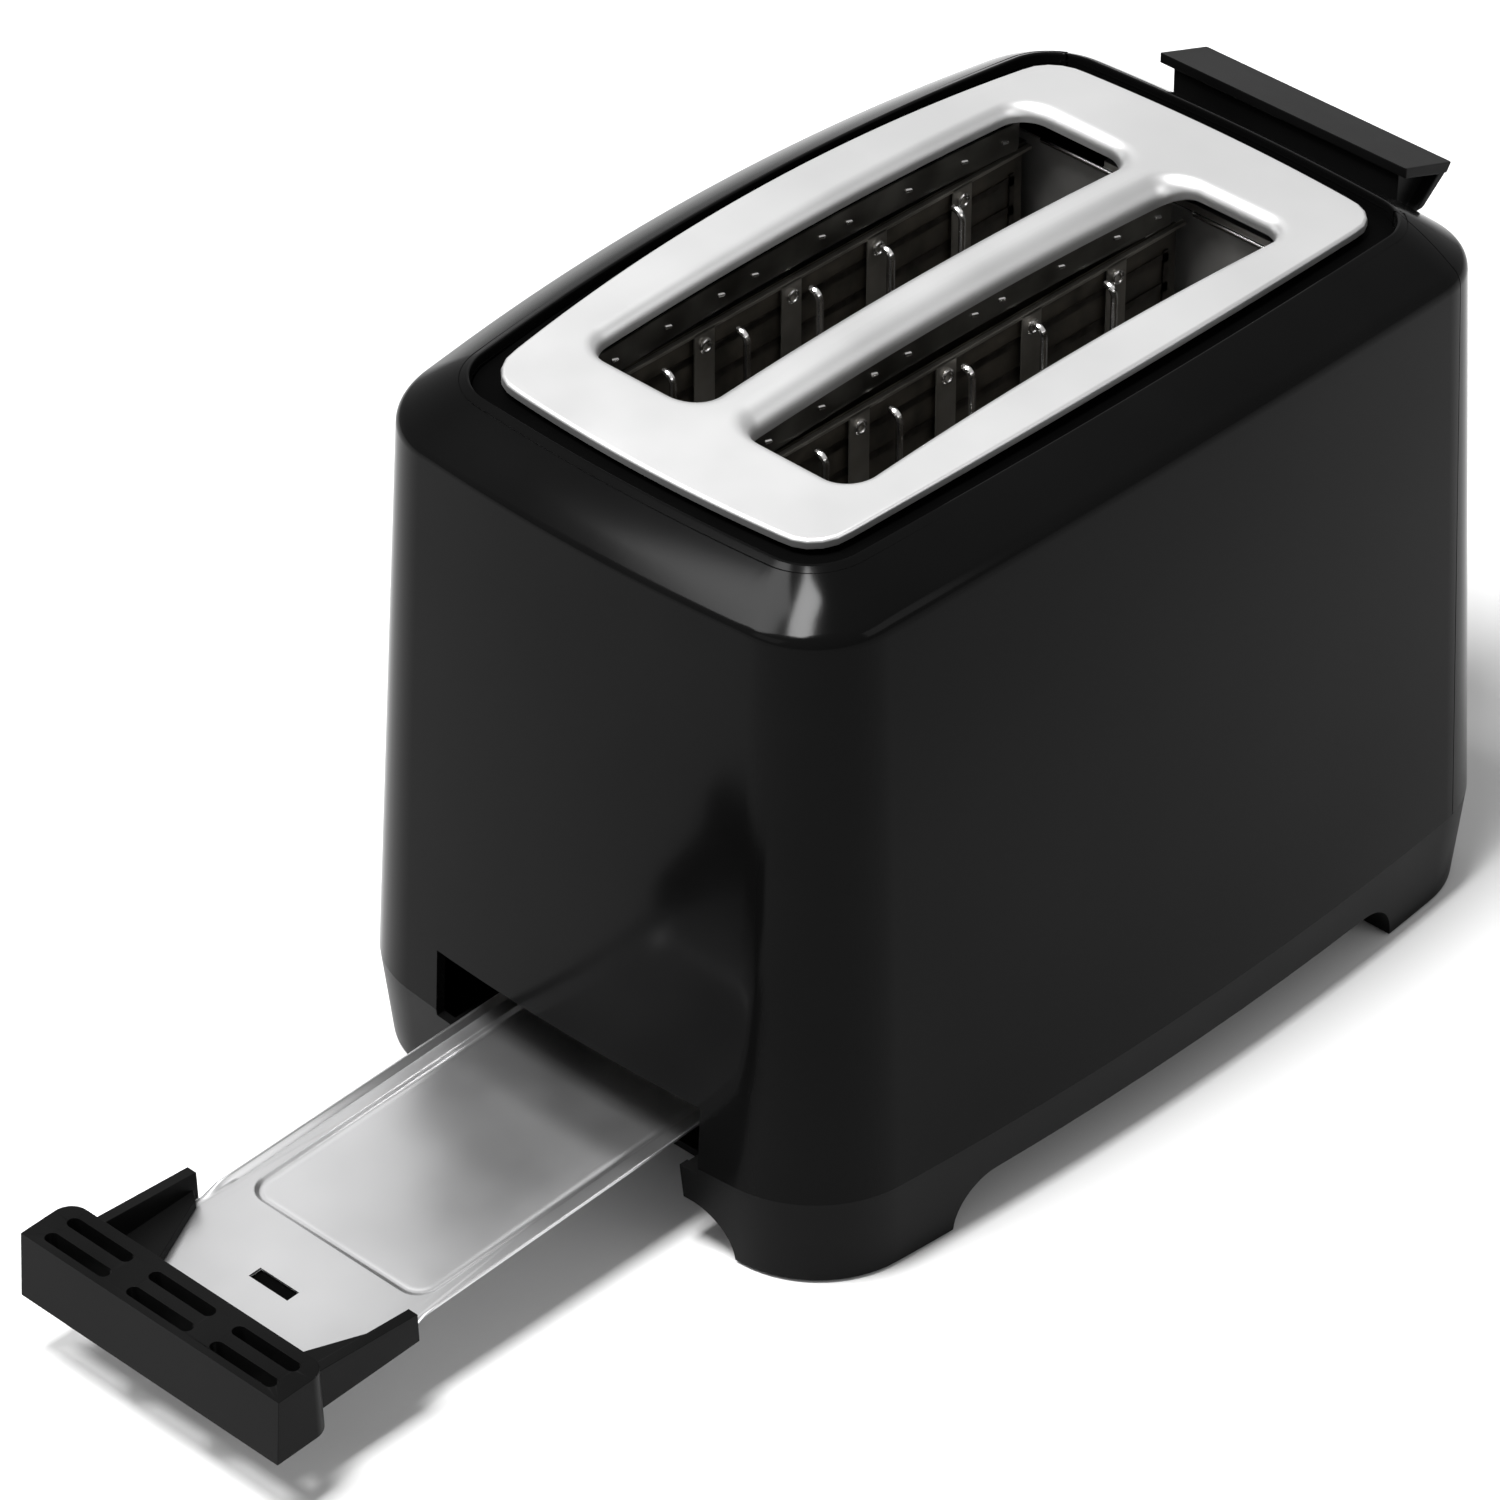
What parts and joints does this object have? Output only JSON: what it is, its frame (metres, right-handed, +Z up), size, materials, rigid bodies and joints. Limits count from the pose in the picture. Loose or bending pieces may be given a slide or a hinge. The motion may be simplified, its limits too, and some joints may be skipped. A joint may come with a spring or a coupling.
{
  "type": "pop up toaster",
  "caption": "Black pop-up toaster with long bread slots in a satin steel top, an end lever and a crumb tray that slides out at the other end.",
  "frame": {"origin": "on the floor, under the middle of the whole object's box with the crumb tray pulled out", "axes": "+X towards the lever end, +Y across the slots, +Z up"},
  "size_m": [0.385, 0.1664, 0.1868],
  "materials": {
    "gloss_black": "glossy injection-moulded",
    "satin_black": "fine satin texture",
    "plate_steel": "fine bead-blasted satin",
    "tray_steel": "mill finish",
    "chassis_steel": "aluminised sheet",
    "mica": "mica sheet",
    "chrome_wire": "bright drawn wire",
    "black_rubber": "matt",
    "circuit_board": "solder mask",
    "component_black": "moulded",
    "copper": "enamelled winding",
    "lens_amber": "clear tinted",
    "white_plastic": "moulded",
    "heater_wire": "resistance ribbon"
  },
  "bodies": {
    "housing": {"outer_shell": "gloss_black", "end_cover": "gloss_black", "top_plate": "plate_steel", "top_trim": "satin_black", "base": "satin_black", "foot_pads": "black_rubber", "base_screws": "chassis_steel", "cord_gland": "black_rubber", "terminal_block": "white_plastic", "tray_rails": "chassis_steel", "end_plate_lever": "chassis_steel", "end_plate_tray": "chassis_steel", "reflector_left": "chassis_steel", "reflector_right": "chassis_steel", "guide_rod": "chrome_wire", "rod_bracket_low": "chassis_steel", "rod_bracket_high": "chassis_steel", "lift_spring": "chrome_wire", "magnet_core": "chassis_steel", "magnet_coil": "copper", "control_panel": "satin_black", "control_board": "circuit_board", "board_parts": "component_black", "indicator_lens": "lens_amber", "board_screws": "chassis_steel", "frame_rivets": "chrome_wire", "heater_board_left_outer": "mica", "board_frame_left_outer": "chassis_steel", "heater_wires_left_outer": "heater_wire", "heater_board_left_inner": "mica", "board_frame_left_inner": "chassis_steel", "heater_wires_left_inner": "heater_wire", "heater_board_right_inner": "mica", "board_frame_right_inner": "chassis_steel", "heater_wires_right_inner": "heater_wire", "heater_board_right_outer": "mica", "board_frame_right_outer": "chassis_steel", "heater_wires_right_outer": "heater_wire"},
    "crumb_tray": {"crumb_tray_sheet": "tray_steel", "tray_handle": "satin_black"},
    "carriage": {"carriage_bracket": "chassis_steel", "bread_rack_left": "chassis_steel", "bread_rack_right": "chassis_steel", "armature": "chassis_steel", "lever_knob": "satin_black"},
    "browning_dial": {"browning_knob": "satin_black"},
    "defrost_key": {"defrost_button": "satin_black"},
    "reheat_key": {"reheat_button": "satin_black"},
    "stop_key": {"stop_button": "satin_black"},
    "guide_left_outer": {"bread_guide_left_outer": "chrome_wire"},
    "guide_left_inner": {"bread_guide_left_inner": "chrome_wire"},
    "guide_right_inner": {"bread_guide_right_inner": "chrome_wire"},
    "guide_right_outer": {"bread_guide_right_outer": "chrome_wire"}
  },
  "joints": [
    {"name": "tray_slide", "type": "slide", "parent": "housing", "child": "crumb_tray", "axis": [-0.999, 0, -0.0436], "range_m": [-0.1275, 0.06]},
    {"name": "carriage_slide", "type": "slide", "parent": "housing", "child": "carriage", "axis": [0, 0, -1], "range_m": [0, 0.07], "stiffness_N_per_m": 100, "springref_m": -0.05, "deforming": ["lift_spring"]},
    {"name": "browning_turn", "type": "hinge", "parent": "housing", "child": "browning_dial", "pos_m": [0.17621, 0, 0.058], "axis": [1, 0, 0], "range_deg": [-135, 135]},
    {"name": "defrost_press", "type": "slide", "parent": "housing", "child": "defrost_key", "axis": [-1, 0, 0], "range_m": [0, 0.002], "stiffness_N_per_m": 300, "springref_m": -0.002},
    {"name": "reheat_press", "type": "slide", "parent": "housing", "child": "reheat_key", "axis": [-1, 0, 0], "range_m": [0, 0.002], "stiffness_N_per_m": 300, "springref_m": -0.002},
    {"name": "stop_press", "type": "slide", "parent": "housing", "child": "stop_key", "axis": [-1, 0, 0], "range_m": [0, 0.002], "stiffness_N_per_m": 300, "springref_m": -0.002},
    {"name": "guide_swing_left_outer", "type": "hinge", "parent": "housing", "child": "guide_left_outer", "pos_m": [0.05821, 0.0371, 0.05], "axis": [1, 0, 0], "range_deg": [0, 4.05]},
    {"name": "guide_swing_left_inner", "type": "hinge", "parent": "housing", "child": "guide_left_inner", "pos_m": [0.05821, 0.0101, 0.05], "axis": [1, 0, 0], "range_deg": [-4.05, 0]},
    {"name": "guide_swing_right_inner", "type": "hinge", "parent": "housing", "child": "guide_right_inner", "pos_m": [0.05821, -0.0101, 0.05], "axis": [1, 0, 0], "range_deg": [0, 4.05]},
    {"name": "guide_swing_right_outer", "type": "hinge", "parent": "housing", "child": "guide_right_outer", "pos_m": [0.05821, -0.0371, 0.05], "axis": [1, 0, 0], "range_deg": [-4.05, 0]}
  ],
  "couplings": [
    {"joint": "guide_swing_left_outer", "follows": "carriage_slide", "rad_per_m": 1},
    {"joint": "guide_swing_left_inner", "follows": "carriage_slide", "rad_per_m": -1},
    {"joint": "guide_swing_right_inner", "follows": "carriage_slide", "rad_per_m": 1},
    {"joint": "guide_swing_right_outer", "follows": "carriage_slide", "rad_per_m": -1}
  ]
}
